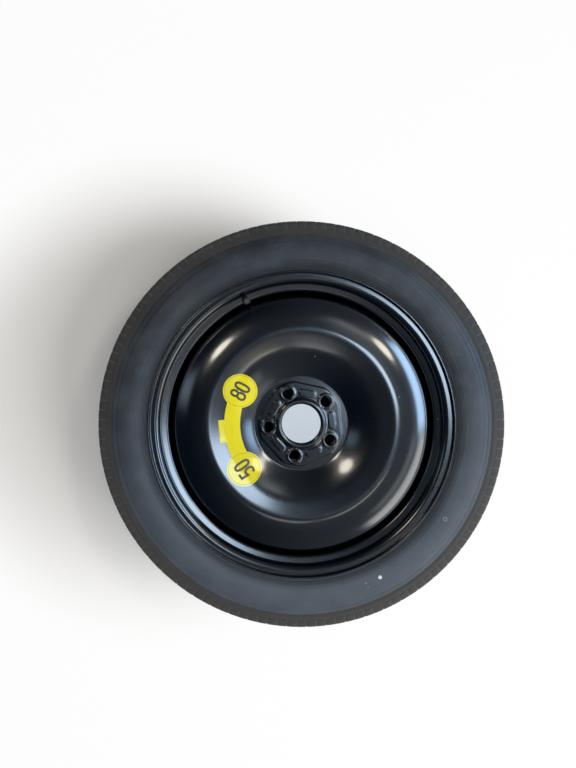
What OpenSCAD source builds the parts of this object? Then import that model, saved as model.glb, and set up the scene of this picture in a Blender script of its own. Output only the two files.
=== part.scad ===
// Temporary spare wheel: narrow tyre on a pressed steel wheel, lying on its back.
// The origin is the wheel's centre. +Z is the wheel's axis and points to the street side.

/* [Tyre] */
// Overall radius of the tyre at the middle of the tread
tyre_r = 328.6; // [322:0.1:335]
// Half of the tyre's width at its widest
tyre_half_w = 63.5; // [61:0.1:66]
// Depth of the tread's grooves
tread_depth = 4; // [2:0.5:6]
// Width of each groove that runs round the tread
groove_w = 6; // [3:0.5:9]
// Number of cross slots on each side of the tread
slot_count = 64; // [32:4:72]
// Width of each cross slot
slot_w = 1.6; // [1:0.1:4]
// Depth to which each cross slot runs out over the shoulder
slot_shoulder_depth = 0.9; // [0.5:0.1:3]

/* [Rim] */
// Radius of the bead seat at the flange
seat_r = 231; // [228:0.1:234]
// Half of the rim's width between its flanges
seat_half_w = 50.8; // [48:0.1:53]
// Height of each flange over the bead seat
flange_h = 14.1; // [12:0.1:16]
// Sheet thickness of the rim
rim_t = 2.3; // [2:0.1:3]
// Radius of the drop centre on the tyre's side
well_r = 213.8; // [211:0.1:215]

/* [Disc] */
// Sheet thickness of the disc
disc_t = 3.5; // [3:0.1:4]
// Radius of the crest that stands round the bowl
crest_r = 157; // [150:1:162]
// Height of the crest over the wheel's middle plane
crest_z = 58.3; // [54:0.1:59]
// Height of the hub pad's front face over the wheel's middle plane
pad_z = 35; // [33:0.5:38]
// How far the hub pad stands out of the ring round it
pad_h = 2; // [1:0.1:3]

/* [Hub] */
// Radius of the centre bore
bore_r = 31.7; // [30:0.05:33]
// Radius of the circle through the bolt holes
bolt_circle_r = 54; // [52:0.1:57]
// Number of bolt holes
bolt_count = 5; // [4:1:6]
// Radius of each bolt hole
bolt_hole_r = 7.25; // [6:0.05:8]
// Direction of the first bolt hole, from +X
bolt_angle = 114.1; // [0:0.1:360]

/* [Valve] */
// Direction of the valve, from +X
valve_angle = 114.1; // [0:0.1:360]
// Lean of the valve towards the axis, square to the ledge that holds it
valve_lean = 15; // [12:0.5:18]
// Radius of the valve hole in the rim
valve_hole_r = 5.75; // [5.5:0.05:6]
// How far the core's pin travels
pin_travel = 1.2; // [0.6:0.1:1.2]

/* [Label] */
// Thickness of the label's film
label_t = 0.3; // [0.2:0.05:0.5]
// Radius of each round end of the label
label_end_r = 27.3; // [24:0.1:29]
// Width of the band between the round ends
label_band_w = 24.8; // [20:0.1:30]
// Width of the tab, along the band
label_tab_w = 36.7; // [25:0.1:45]

/* [Hidden] */
$fn = 180;
far = 400;
eps = 0.01;

bend_error = 0.04;
slot_in_z = 27;
slot_out_r = 313;

flange_r = seat_r + flange_h;
lip_z = seat_half_w + 11;
seat_taper = tan(5);
seat_end_z = seat_half_w - 10.3;
seat_end_r = seat_r - (seat_half_w - seat_end_z) * seat_taper;
hump_r = seat_r + 0.3;
hump_z = seat_end_z - 4.3;
ledge_in_r = 218.1;
ledge_in_z = hump_z - (hump_r - ledge_in_r) * tan(valve_lean);
well_front_z = 13.5;
well_back_z = -14;

skirt_r = well_r - rim_t;
skirt_end_z = -4;
ring_z = pad_z - pad_h;
hub_face_z = ring_z - disc_t;
collar_z = pad_z + 4;
pad_flat_r = 65.5;
pad_corner_r = 70.5;
boss_h = 1.2;
boss_r = 13.2;
seat_cone_z = ring_z;
slot_emboss_r = 50;
slot_emboss_len = 16;
slot_emboss_w = 6.2;
slot_emboss_h = 1.2;

weld_count = 8;
weld_angle = 17;
weld_leg = 4.5;

valve_r = 221;
valve_boss_r = 9;
valve_boss_h = 8;
valve_pocket_r = 7.3;
valve_z = ledge_in_z + (valve_r - ledge_in_r) * tan(valve_lean) + rim_t / cos(valve_lean);
tube_r = 3.85;
tube_top = 22;
tube_bore_r = 2.65;
barrel_r = 2.6;
barrel_bottom = 8.5;
barrel_top = 20.5;
pin_r = 0.8;
pin_hole_r = 0.88;
chamber_r = 1.75;
chamber_bottom = 11.5;
chamber_top = 18.9;
collar_bottom = 16.8;
seal_t = 0.5;
cup_r = 2.2;
cup_bottom = 6.4;
cap_r = 4.95;
cap_bottom = 15;
cap_top = 25.5;
cap_rib_count = 24;
cap_seal_t = 0.9;

label_high = [111.8, 151.6];
label_low = [116.4, 218.1];
label_mid_r = 111.4;
label_tab_angle = 185.2;
label_tab_r = 132;

// Profiles are lists of corners [radius, height, bend radius], and arcs take the corners' place.
function unit(v) = v / norm(v);
function flat(p) = [p[0], p[1]];
function turned(v, a) = [v[0] * cos(a) - v[1] * sin(a), v[0] * sin(a) + v[1] * cos(a)];
function polar(r, a) = [r * cos(a), r * sin(a)];

function bend(a, b, c) =
    let (u = unit(flat(a) - flat(b)),
         w = unit(flat(c) - flat(b)),
         half = acos(u * w) / 2,
         centre = flat(b) + unit(u + w) * b[2] / sin(half),
         start = flat(b) + u * b[2] / tan(half),
         sweep = 180 - 2 * half,
         hand = -sign(cross(u, w)),
         steps = max(2, ceil(sweep / (2 * acos(1 - bend_error / b[2])))))
    [for (i = [0:steps]) centre + turned(start - centre, hand * sweep * i / steps)];

function rounded(path) =
    [for (i = [0:len(path) - 1])
        each i == 0 || i == len(path) - 1 || path[i][2] == 0
            ? [flat(path[i])] : bend(path[i - 1], path[i], path[i + 1])];

function side_at(p, i) =
    let (before = i == 0 ? p[1] - p[0] : p[i] - p[i - 1],
         after = i == len(p) - 1 ? before : p[i + 1] - p[i],
         n1 = turned(unit(before), 90),
         n2 = turned(unit(after), 90))
    (n1 + n2) / (1 + n1 * n2);

function beside(p, d) = [for (i = [0:len(p) - 1]) p[i] + d * side_at(p, i)];
function reversed(p) = [for (i = [len(p) - 1:-1:0]) p[i]];
function mirrored(path) = [for (p = reversed(path)) [p[0], -p[1], p[2]]];

// A sheet of thickness t that follows one face line, to its left or, with a negative t, its right
module sheet_section(path, t) {
    line = rounded(path);
    polygon(concat(line, reversed(beside(line, t))));
}

// Tyre: outer face of one half, from the bead's toe to the tread
tyre_outer_half = [
    [seat_end_r, seat_end_z + 0.5, 0],
    [seat_r, seat_half_w, 5.6],
    [flange_r + 0.2, seat_half_w, 6.4],
    [flange_r + 0.2, lip_z - 4.2, 0],
    [flange_r + 2.6, lip_z - 3.6, 0],
    [277, tyre_half_w + 2.9, 62],
    [302, 58, 0],
    [303, 57.2, 0],
    [tyre_r - 2, 53, 8]];
tyre_inner_half = [
    [seat_end_r + 6, seat_end_z - 1.6, 4],
    [seat_r + 17, seat_half_w - 1.5, 14],
    [277, tyre_half_w - 3.4, 62],
    [300, 53, 10],
    [tyre_r - 9.6, 46, 12]];

// The cut of one cross slot: deep under the tread, then shallow over the shoulder
slot_floor_r = tyre_r - tread_depth;
slot_form = concat(
    [[tyre_r + 9, slot_in_z], [slot_floor_r, slot_in_z], [slot_floor_r, 42]],
    [for (p = reversed(beside(rounded(concat(tyre_outer_half, [[tyre_r + 0.4, 0, 0]])),
                              -slot_shoulder_depth)))
        if (p[0] > slot_out_r && p[1] > 45) p],
    [[slot_out_r, 56], [slot_out_r, 70], [tyre_r + 9, 70]]);

module tread_slots(side) {
    for (i = [0:slot_count - 1])
        rotate([0, 0, (i + side / 4) * 360 / slot_count])
            rotate([90, 0, 0]) translate([0, 0, -slot_w / 2]) linear_extrude(height = slot_w)
                polygon([for (p = slot_form) [p[0], side * p[1]]]);
}

module tyre() {
    color([0.16, 0.16, 0.17]) difference() {
        rotate_extrude() polygon(concat(
            rounded(concat(tyre_outer_half, [[tyre_r + 0.4, 0, 600]], mirrored(tyre_outer_half))),
            reversed(rounded(concat(tyre_inner_half, mirrored(tyre_inner_half))))));
        for (z = [-20, 0, 20])
            rotate_extrude() translate([slot_floor_r, z])
                polygon([[0, 0.8 - groove_w / 2], [20, -3.2 - groove_w / 2],
                         [20, groove_w / 2 + 3.2], [0, groove_w / 2 - 0.8]]);
        tread_slots(1);
        tread_slots(-1);
    }
}

// Rim: the tyre's side of the hoop, from the street lip to the inner lip
rim_path = [
    [flange_r, lip_z, 0],
    [flange_r, seat_half_w, 8],
    [seat_r, seat_half_w, 5.5],
    [seat_end_r, seat_end_z, 3],
    [hump_r, hump_z, 3.2],
    [ledge_in_r, ledge_in_z, 4.5],
    [well_r, well_front_z, 7],
    [well_r, well_back_z, 9],
    [hump_r, -hump_z, 4],
    [seat_end_r, -seat_end_z, 3],
    [seat_r, -seat_half_w, 5.5],
    [flange_r, -seat_half_w, 8],
    [flange_r, -lip_z, 0]];

module at_valve() {
    rotate([0, 0, valve_angle])
        translate([valve_r, 0, valve_z])
            rotate([0, -valve_lean, 0])
                children();
}

// A round seat is pressed out of the ledge, so that the valve's head has a flat to pull against
module rim() {
    color([0.05, 0.05, 0.06]) difference() {
        union() {
            rotate_extrude() sheet_section(rim_path, -rim_t);
            at_valve() translate([0, 0, -valve_boss_h]) cylinder(r = valve_boss_r, h = valve_boss_h);
        }
        at_valve() {
            translate([0, 0, -valve_boss_h - 1])
                cylinder(r = valve_pocket_r, h = valve_boss_h + 1 - rim_t);
            translate([0, 0, -12]) cylinder(r = valve_hole_r, h = 18);
        }
    }
}

// Disc: its front face, from the centre collar to the end of the skirt
disc_path = [
    [bore_r, hub_face_z, 0],
    [bore_r, collar_z, 4.3],
    [38.8, collar_z, 4],
    [43.5, ring_z, 2.5],
    [77.2, ring_z, 4],
    [111.4, crest_z - 6.2, 200],
    [crest_r, crest_z, 27],
    [182.3, crest_z - 4.5, 190],
    [skirt_r, 41.9, 14],
    [skirt_r, skirt_end_z, 0]];

// A flat-sided plate with coned edges: the hub pad's form, used in front and, inset, at the back
module pad_form(z, h, inset) {
    difference() {
        translate([0, 0, z])
            cylinder(r1 = pad_corner_r - inset, r2 = pad_corner_r - inset - h, h = h);
        for (i = [0:bolt_count - 1])
            rotate([0, 0, bolt_angle + (i + 0.5) * 360 / bolt_count])
                translate([pad_flat_r - inset, -far / 2, z])
                    rotate([0, -45, 0])
                        translate([0, 0, -20]) cube([far, far, 60]);
    }
}

module raised_slot(len, r, h) {
    for (side = [-1, 1])
        translate([0, side * len / 2, 0]) cylinder(r1 = r, r2 = r - h, h = h);
    translate([0, len / 2, 0]) rotate([90, 0, 0])
        linear_extrude(height = len)
            polygon([[-r * 0.97, 0], [r * 0.97, 0], [r * 0.97 - h, h], [h - r * 0.97, h]]);
}

module at_bolts(shift) {
    for (i = [0:bolt_count - 1])
        rotate([0, 0, bolt_angle + (i + shift) * 360 / bolt_count]) children();
}

module wheel_disc() {
    color([0.05, 0.05, 0.06]) difference() {
        union() {
            rotate_extrude() sheet_section(disc_path, -disc_t);
            difference() {
                pad_form(ring_z - eps, pad_h + eps, 0);
                translate([0, 0, ring_z - 1]) cylinder(r = 40, h = pad_h + 2);
            }
            at_bolts(0) translate([bolt_circle_r, 0, pad_z - eps])
                cylinder(r1 = boss_r, r2 = boss_r - boss_h, h = boss_h);
            at_bolts(0.5) translate([slot_emboss_r, 0, pad_z - eps])
                raised_slot(slot_emboss_len, slot_emboss_w, slot_emboss_h);
        }
        difference() {
            pad_form(hub_face_z - 0.5, pad_h + 0.5, 1);
            translate([0, 0, hub_face_z - 1]) cylinder(r = 40.4, h = pad_h + 2);
        }
        at_bolts(0.5) translate([slot_emboss_r, 0, hub_face_z + pad_h - eps])
            raised_slot(slot_emboss_len, slot_emboss_w - 1, slot_emboss_h);
        at_bolts(0) translate([bolt_circle_r, 0, 0]) {
            translate([0, 0, hub_face_z - 1]) cylinder(r = bolt_hole_r, h = 12);
            translate([0, 0, seat_cone_z])
                cylinder(r1 = bolt_hole_r, r2 = bolt_hole_r + 5 * tan(30), h = 5);
        }
    }
}

module disc_welds() {
    color([0.07, 0.07, 0.08])
        for (i = [0:weld_count - 1])
            rotate([0, 0, i * 360 / weld_count + 9])
                rotate_extrude(angle = weld_angle)
                    polygon([[skirt_r, skirt_end_z], [skirt_r - disc_t + 0.4, skirt_end_z],
                             [skirt_r - weld_leg * 0.62, skirt_end_z - weld_leg * 0.38],
                             [skirt_r, skirt_end_z - weld_leg]]);
}

module turned_part(points) {
    rotate_extrude() polygon(points);
}

module valve_body() {
    color([0.08, 0.08, 0.08]) at_valve() difference() {
        turned_part([[0, -9.2], [4.6, -9.2], [5.5, -8.2], [7, -5.4], [7.1, -3.2], [6.9, -rim_t],
                     [valve_hole_r, -rim_t], [valve_hole_r, 0], [6.9, 0], [6.9, 1], [6.3, 2.4],
                     [5.7, 4.2], [5.2, 8], [4.7, 12.5], [4.5, 13.4], [0, 13.4]]);
        translate([0, 0, -10]) cylinder(r = 3, h = 30);
    }
}

module valve_tube() {
    color([0.78, 0.62, 0.3]) at_valve() difference() {
        turned_part([[0, -9], [3, -9], [3, 13.4], [4.3, 13.4], [4.3, 14.2], [tube_r, 14.6],
                     [tube_r, tube_top - 0.5], [tube_r - 0.5, tube_top], [0, tube_top]]);
        translate([0, 0, -10]) cylinder(r = 1.9, h = 20);
        translate([0, 0, cup_bottom - pin_travel]) cylinder(r = tube_bore_r, h = 20);
    }
}

module core_barrel() {
    color([0.8, 0.66, 0.36]) at_valve() difference() {
        translate([0, 0, barrel_bottom]) cylinder(r = barrel_r, h = barrel_top - barrel_bottom);
        translate([0, 0, barrel_bottom - 1]) cylinder(r = pin_hole_r, h = 20);
        translate([0, 0, chamber_bottom]) cylinder(r = chamber_r, h = chamber_top - chamber_bottom);
        for (side = [0, 180])
            rotate([0, 0, side]) translate([1.3, -3, chamber_top + 0.4]) cube([3, 6, 3]);
    }
}

module core_pin() {
    color([0.83, 0.7, 0.4]) at_valve()
        turned_part([[0, cup_bottom], [1.6, cup_bottom], [cup_r, cup_bottom + 0.5], [cup_r, barrel_bottom - seal_t],
                     [pin_r, barrel_bottom - seal_t], [pin_r, collar_bottom], [1.45, collar_bottom],
                     [1.45, collar_bottom + 0.8], [pin_r, collar_bottom + 0.8], [pin_r, 21.1],
                     [pin_r - 0.25, 21.4], [0, 21.4]]);
}

module core_seal() {
    color([0.1, 0.1, 0.1]) at_valve() translate([0, 0, barrel_bottom - seal_t]) difference() {
        cylinder(r = cup_r - 0.1, h = seal_t - 2 * eps);
        translate([0, 0, -1]) cylinder(r = pin_r, h = 3);
    }
}

// A coil of round wire as one swept tube
spring_r = 1.2;
spring_wire_r = 0.15;
spring_turns = 6;
spring_sides = 6;
spring_steps = spring_turns * 14;
spring_low = chamber_bottom + spring_wire_r;
spring_high = collar_bottom - spring_wire_r;
spring_points = [
    for (i = [0:spring_steps], k = [0:spring_sides - 1])
        let (a = 360 * spring_turns * i / spring_steps, b = 360 * k / spring_sides,
             r = spring_r + spring_wire_r * cos(b))
        [r * cos(a), r * sin(a),
         spring_low + (spring_high - spring_low) * i / spring_steps + spring_wire_r * sin(b)]];
spring_faces = concat(
    [[for (k = [0:spring_sides - 1]) k]],
    [for (i = [0:spring_steps - 1], k = [0:spring_sides - 1])
        [i * spring_sides + (k + 1) % spring_sides, i * spring_sides + k,
         (i + 1) * spring_sides + k, (i + 1) * spring_sides + (k + 1) % spring_sides]],
    [[for (k = [spring_sides - 1:-1:0]) spring_steps * spring_sides + k]]);

module core_spring() {
    color([0.7, 0.71, 0.73]) at_valve() polyhedron(points = spring_points, faces = spring_faces);
}

module valve_cap() {
    color([0.06, 0.06, 0.06]) at_valve() difference() {
        union() {
            turned_part([[0, cap_bottom], [cap_r, cap_bottom], [cap_r, cap_top - 1.6],
                         [cap_r - 1.5, cap_top], [0, cap_top]]);
            for (i = [0:cap_rib_count - 1])
                rotate([0, 0, i * 360 / cap_rib_count])
                    translate([cap_r - 0.25, -0.3, cap_bottom + 0.8]) cube([0.5, 0.6, 7]);
        }
        translate([0, 0, cap_bottom - 1])
            cylinder(r = tube_r + 0.08, h = tube_top + 0.1 + cap_seal_t - cap_bottom + 1);
    }
}

module cap_seal() {
    color([0.1, 0.1, 0.1]) at_valve()
        translate([0, 0, tube_top + 0.1]) cylinder(r = tube_r - 0.1, h = cap_seal_t);
}

// The label's outline, seen from the street side
module label_outline() {
    translate(polar(label_high[0], label_high[1])) circle(r = label_end_r);
    translate(polar(label_low[0], label_low[1])) circle(r = label_end_r);
    intersection() {
        difference() {
            circle(r = label_mid_r + label_band_w / 2);
            circle(r = label_mid_r - label_band_w / 2);
        }
        polygon([[0, 0], polar(far, label_high[1]), polar(far, 180), polar(far, label_low[1])]);
    }
    rotate([0, 0, label_tab_angle])
        translate([label_mid_r, -label_tab_w / 2])
            square([label_tab_r - label_mid_r, label_tab_w]);
}

module speed_label() {
    color([0.93, 0.86, 0.1]) intersection() {
        rotate_extrude() sheet_section(disc_path, label_t);
        translate([0, 0, ring_z]) linear_extrude(height = 40) label_outline();
    }
}

tyre();
rim();
wheel_disc();
disc_welds();
valve_body();
valve_tube();
core_barrel();
core_pin();
core_seal();
core_spring();
valve_cap();
cap_seal();
speed_label();
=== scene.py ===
import math

import bmesh
import bpy
import numpy as np
from bpy.props import FloatProperty, FloatVectorProperty, IntProperty, PointerProperty
from bpy.types import Operator, Panel, PropertyGroup
from mathutils import Matrix, Vector
from mathutils.geometry import delaunay_2d_cdt


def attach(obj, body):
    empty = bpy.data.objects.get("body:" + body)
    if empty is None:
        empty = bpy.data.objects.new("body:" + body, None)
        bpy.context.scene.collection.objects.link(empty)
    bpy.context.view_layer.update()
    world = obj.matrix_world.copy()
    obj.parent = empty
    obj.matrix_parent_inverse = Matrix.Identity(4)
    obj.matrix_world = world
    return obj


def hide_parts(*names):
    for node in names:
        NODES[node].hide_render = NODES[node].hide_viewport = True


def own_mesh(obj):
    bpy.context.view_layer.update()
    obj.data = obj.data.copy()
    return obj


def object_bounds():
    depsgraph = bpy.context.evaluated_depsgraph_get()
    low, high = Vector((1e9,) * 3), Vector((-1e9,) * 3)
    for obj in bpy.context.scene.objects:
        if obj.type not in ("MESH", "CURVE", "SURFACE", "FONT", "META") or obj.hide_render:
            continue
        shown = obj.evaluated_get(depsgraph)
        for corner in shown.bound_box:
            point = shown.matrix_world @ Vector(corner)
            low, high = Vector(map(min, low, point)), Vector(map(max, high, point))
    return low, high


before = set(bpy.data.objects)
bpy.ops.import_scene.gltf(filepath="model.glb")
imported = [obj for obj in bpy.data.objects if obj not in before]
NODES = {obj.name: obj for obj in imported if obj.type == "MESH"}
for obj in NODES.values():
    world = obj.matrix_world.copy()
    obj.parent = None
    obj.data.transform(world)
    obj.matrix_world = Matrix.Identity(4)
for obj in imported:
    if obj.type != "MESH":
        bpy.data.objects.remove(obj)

bl_info = {
    "name": "Temporary Spare Wheel",
    "version": (1, 0, 0),
    "blender": (4, 5, 0),
    "location": "3D View > Sidebar > Spare Wheel",
    "description": "Builds the tyre, pressed steel wheel, valve and speed label round the packed frame",
    "category": "Object",
}

CAD_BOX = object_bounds()
MM = 0.001
ARC_ERROR = 0.012

# The wheel's own values, in millimetres, in the frame's axes: +Z is the street side.
BOLT_ANGLE = 114.1
BOLT_COUNT = 5
BOLT_CIRCLE_R = 54.0
BOLT_HOLE_R = 7.25
PAD_FLAT_R = 65.5
PAD_CORNER_R = 70.5
PAD_Z = 35.0
RING_Z = 33.0
DISC_T = 3.5
RIM_T = 2.3
TREAD_FLOOR_R = 324.6
TREAD_R = 330.0             # where the widths of slots and cuts are measured
GROOVE_Z = 20.0             # middle of the outer grooves
RIB_DEPTH = 2.6             # from a rib block's top to the carcass under it
SLOT_IN_Z = 27.0
SLOT_OUT_R = 313.0
SLOT_SHOULDER_DEPTH = 0.9
VALVE_ANGLE = 114.1
VALVE_LEAN = 15.0
VALVE_R = 221.0
VALVE_Z = 35.821
CAMERA_XY = (-0.0215, 0.0645)   # the camera's place over the wheel, in metres
LABEL_HIGH = (111.8, 151.6)
LABEL_LOW = (116.4, 218.1)
LABEL_END_R = 27.3
LABEL_MID_R = 111.4
LABEL_BAND_W = 24.8
LABEL_TAB_ANGLE = 185.2
LABEL_TAB_R = 132.0
LABEL_TAB_W = 36.7

# Profiles are lists of corners (radius, height, bend radius).
TYRE_OUTER_HALF = [
    (230.1, 41.0, 0), (231.0, 50.8, 5.6), (245.3, 50.8, 6.4), (245.3, 57.6, 0.5), (247.7, 58.2, 0),
    (277.0, 66.4, 62), (302.0, 58.0, 0.8), (303.0, 57.2, 0.8), (326.6, 53.0, 8), (329.0, 0.0, 600)]
TYRE_INNER_HALF = [
    (236.1, 38.9, 4), (248.0, 49.3, 14), (277.0, 60.1, 62), (300.0, 53.0, 10), (319.0, 46.0, 12)]
RIM_PATH = [
    (245.1, 61.8, 0), (245.1, 50.8, 4), (231.0, 50.8, 6.5), (229.3, 40.8, 2.5), (228.9, 36.2, 2.5),
    (218.1, 34.5, 3), (213.8, 13.5, 7), (213.8, -14.0, 9), (231.3, -36.2, 4), (230.1, -40.5, 3),
    (231.0, -50.8, 5.5), (245.1, -50.8, 8), (245.1, -61.8, 0)]
DISC_PATH = [
    (31.7, 29.5, 0), (31.7, 39.0, 4.3), (38.8, 39.0, 4), (43.5, 33.0, 2.5), (77.2, 33.0, 4),
    (101.0, 44.6, 240), (120.6, 51.85, 100), (152.3, 57.55, 45), (183.9, 53.39, 110),
    (199.3, 46.34, 4), (202.8, 45.45, 2.5), (211.5, 31.0, 9), (211.5, -4.0, 0)]


# Settings.
def length(name, about, default):
    return FloatProperty(name=name, description=about, default=default, min=0.0, unit="LENGTH")


def colour(name, about, default):
    return FloatVectorProperty(name=name, description=about, default=default, size=3, min=0.0, max=1.0,
                               subtype="COLOR")


def power(name, about, default):
    return FloatProperty(name=name, description=about, default=default, min=0.0, unit="POWER")


def strength(name, about, default):
    return FloatProperty(name=name, description=about, default=default, min=0.0)


class TyreSettings(PropertyGroup):
    pitches: IntProperty(name="Tread Pitches", description="How often the tread's pattern repeats round the tyre",
                         default=64, min=16, max=96)
    slot_width: length("Slot Width", "Width of each cross slot of the shoulder", 0.0016)
    sipe_width: length("Sipe Width", "Width of the fine cut in the middle of each block", 0.0009)
    groove_width: length("Groove Width", "Width of each groove that runs round the tread", 0.006)
    sidewall: colour("Sidewall", "Colour of the smooth sidewall", (0.015, 0.019, 0.026))
    shoulder: colour("Shoulder", "Colour of the ground shoulder and tread", (0.027, 0.0255, 0.0245))
    paint_mark: colour("Paint Mark", "Colour of the tyre fitter's dot", (0.72, 0.72, 0.70))


class WheelSettings(PropertyGroup):
    paint: colour("Paint", "Colour of the black baked paint", (0.0004, 0.0008, 0.0016))
    dust: colour("Dust", "Colour of the specks that lie on the paint", (0.30, 0.31, 0.33))
    hub_relief: length("Hub Relief", "Height of the rings and long humps of the hub pad", 0.0012)
    weld_bead: length("Weld Bead", "Radius of the weld bead at the back of the disc", 0.0026)


class LabelSettings(PropertyGroup):
    film: colour("Film", "Colour of the label's film", (0.72, 0.655, 0.004))
    ink: colour("Ink", "Colour of the printed numbers", (0.035, 0.028, 0.012))
    digit_height: length("Digit Height", "Height of the printed numbers", 0.0255)


class ValveSettings(PropertyGroup):
    rubber: colour("Rubber", "Colour of the valve's rubber body", (0.018, 0.018, 0.019))
    brass: colour("Brass", "Colour of the valve's tube and core", (0.78, 0.60, 0.30))
    cap: colour("Cap", "Colour of the moulded cap", (0.012, 0.012, 0.013))
    cap_ribs: IntProperty(name="Cap Ribs", description="Number of grip ribs round the cap", default=24, min=8, max=40)
    thread_pitch: length("Thread Pitch", "Pitch of the thread under the cap", 0.0008)


class StageSettings(PropertyGroup):
    floor: colour("Floor", "Colour of the plain floor", (0.97, 0.97, 0.97))
    floor_glow: FloatProperty(name="Floor Glow", description="Share of plain white in the floor as the camera sees it",
                              default=0.94, min=0.0, max=1.0, subtype="FACTOR")
    shade_glow: FloatProperty(name="Shade Glow", description="The same share where the wheel's shadow falls",
                              default=0.04, min=0.0, max=1.0, subtype="FACTOR")
    bore_glow: FloatProperty(name="Bore Glow", description="The same share in the wheel's bore",
                             default=0.66, min=0.0, max=1.0, subtype="FACTOR")
    bright_side: colour("Bright Side", "Colour of the mirrored room behind the panels", (0.30, 0.36, 0.44))
    dim_side: colour("Dim Side", "Colour of the mirrored room away from the panels", (0.02, 0.04, 0.07))
    window: strength("Window", "Strength of the wide cool window on the right", 13.5)
    rooflight: strength("Rooflight", "Strength of the cool rooflight high up on the right", 13.0)
    side_panel: strength("Side Panel", "Strength of the neutral panel, lower right", 4.4)
    dim_panels: strength("Dim Panels", "Strength of the small dim panels, in shares of their own values", 1.0)
    lamps: power("Lamps", "Power of each of the two small warm lamps", 6.6)
    fill: power("Fill", "Power of the soft light from the lower right, which mirrors in nothing", 41.0)
    overhead: power("Overhead", "Power of the wide light overhead, which mirrors in nothing", 20.0)
    camera_height: length("Camera Height", "Height of the camera over the wheel's middle plane", 0.977)
    lens: FloatProperty(name="Lens", description="Focal length of the camera", default=27.05, min=10.0,
                        unit="CAMERA")


# Outlines.
def unit(v):
    return v / np.linalg.norm(v)


def turned(v, angle):
    c, s = math.cos(angle), math.sin(angle)
    return np.array([v[0] * c - v[1] * s, v[0] * s + v[1] * c])


def polar(radius, degrees):
    return np.array([radius * math.cos(math.radians(degrees)), radius * math.sin(math.radians(degrees))])


def bend(a, b, c, radius, error=ARC_ERROR):
    """The arc that takes the place of corner b."""
    u, w = unit(a - b), unit(c - b)
    half = math.acos(float(np.clip(u @ w, -1, 1))) / 2
    centre = b + unit(u + w) * radius / math.sin(half)
    arm = b + u * radius / math.tan(half) - centre
    sweep = math.pi - 2 * half
    hand = -math.copysign(1.0, u[0] * w[1] - u[1] * w[0])
    steps = max(3, math.ceil(sweep / (2 * math.acos(1 - error / radius))))
    return [centre + turned(arm, hand * sweep * i / steps) for i in range(steps + 1)]


def rounded(path, error=ARC_ERROR):
    corners = [np.array(p[:2], float) for p in path]
    line = []
    for i, corner in enumerate(corners):
        if i in (0, len(corners) - 1) or path[i][2] == 0:
            line.append(corner)
        else:
            line += bend(corners[i - 1], corner, corners[i + 1], path[i][2], error)
    return np.array(line)


def beside(line, distance):
    """The line at a distance to the left, or to the right if it is negative."""
    steps = np.diff(line, axis=0)
    steps /= np.linalg.norm(steps, axis=1)[:, None]
    left = np.stack([-steps[:, 1], steps[:, 0]], axis=1)
    before, after = np.vstack([left[:1], left]), np.vstack([left, left[-1:]])
    mitre = (before + after) / (1 + np.sum(before * after, axis=1))[:, None]
    return line + distance * mitre


def divided(line, longest):
    """The line with its long steps divided; longest takes a point and gives the longest step there."""
    out = [line[0]]
    for a, b in zip(line[:-1], line[1:]):
        n = max(1, math.ceil(np.linalg.norm(b - a) / longest((a + b) / 2)))
        out += [a + (b - a) * k / n for k in range(1, n + 1)]
    return np.array(out)


def sheet_loop(front, back, edge_radius):
    """The closed outline of a sheet between its two face lines, with its cut edges eased."""
    ends = []
    for a, b in ((front, back), (back[::-1], front[::-1])):
        first = bend(a[-2], a[-1], b[-1], edge_radius, 0.02)
        second = bend(a[-1], b[-1], b[-2], edge_radius, 0.02)
        ends.append(np.array(first + second))
    return np.vstack([front[1:-1], ends[0], back[::-1][1:-1], ends[1]])


def mirrored(path):
    return [(p[0], -p[1], p[2]) for p in reversed(path)]


def smooth(low, high, x):
    t = np.clip((x - low) / (high - low), 0, 1)
    return t * t * (3 - 2 * t)


# Meshes.
def new_piece(name, points, faces, sharp=38.0):
    """A mesh object from points in millimetres, with its faces turned outwards."""
    mesh = bpy.data.meshes.new(name)
    mesh.from_pydata((np.asarray(points, float) * MM).tolist(), [], faces)
    return finished(name, mesh, sharp)


def finished(name, mesh, sharp=38.0):
    work = bmesh.new()
    work.from_mesh(mesh)
    bmesh.ops.recalc_face_normals(work, faces=work.faces)
    work.to_mesh(mesh)
    work.free()
    mesh.shade_smooth()
    mesh.set_sharp_from_angle(angle=math.radians(sharp))
    mesh.update()
    piece = bpy.data.objects.new(name, mesh)
    bpy.context.scene.collection.objects.link(piece)
    return piece


def revolve(loop, count):
    """Points and quads of a closed outline turned round the Z axis."""
    rows = len(loop)
    turn = np.arange(count) * 2 * math.pi / count
    x = np.outer(np.cos(turn), loop[:, 0])
    y = np.outer(np.sin(turn), loop[:, 0])
    z = np.tile(loop[:, 1], (count, 1))
    points = np.stack([x, y, z], axis=2).reshape(-1, 3)
    i = np.arange(count)[:, None]
    j = np.arange(rows)[None, :]
    i2, j2 = (i + 1) % count, (j + 1) % rows
    quads = np.stack(np.broadcast_arrays(i * rows + j, i2 * rows + j, i2 * rows + j2, i * rows + j2), axis=2)
    return points, quads.reshape(-1, 4).tolist()


def lathe(profile, count):
    """Points and faces of an open profile turned round Z, closed on the axis where its ends touch it."""
    points, faces, rings = [], [], []
    for r, z in profile:
        start = len(points)
        if r < 1e-6:
            points.append((0.0, 0.0, z))
            rings.append([start] * count)
        else:
            points += [(r * math.cos(2 * math.pi * i / count), r * math.sin(2 * math.pi * i / count), z)
                       for i in range(count)]
            rings.append(list(range(start, start + count)))
    for low, high in zip(rings[:-1], rings[1:]):
        for i in range(count):
            k = (i + 1) % count
            face = [low[i], low[k], high[k], high[i]]
            face = list(dict.fromkeys(face))
            if len(face) > 2:
                faces.append(face)
    return points, faces


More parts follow.
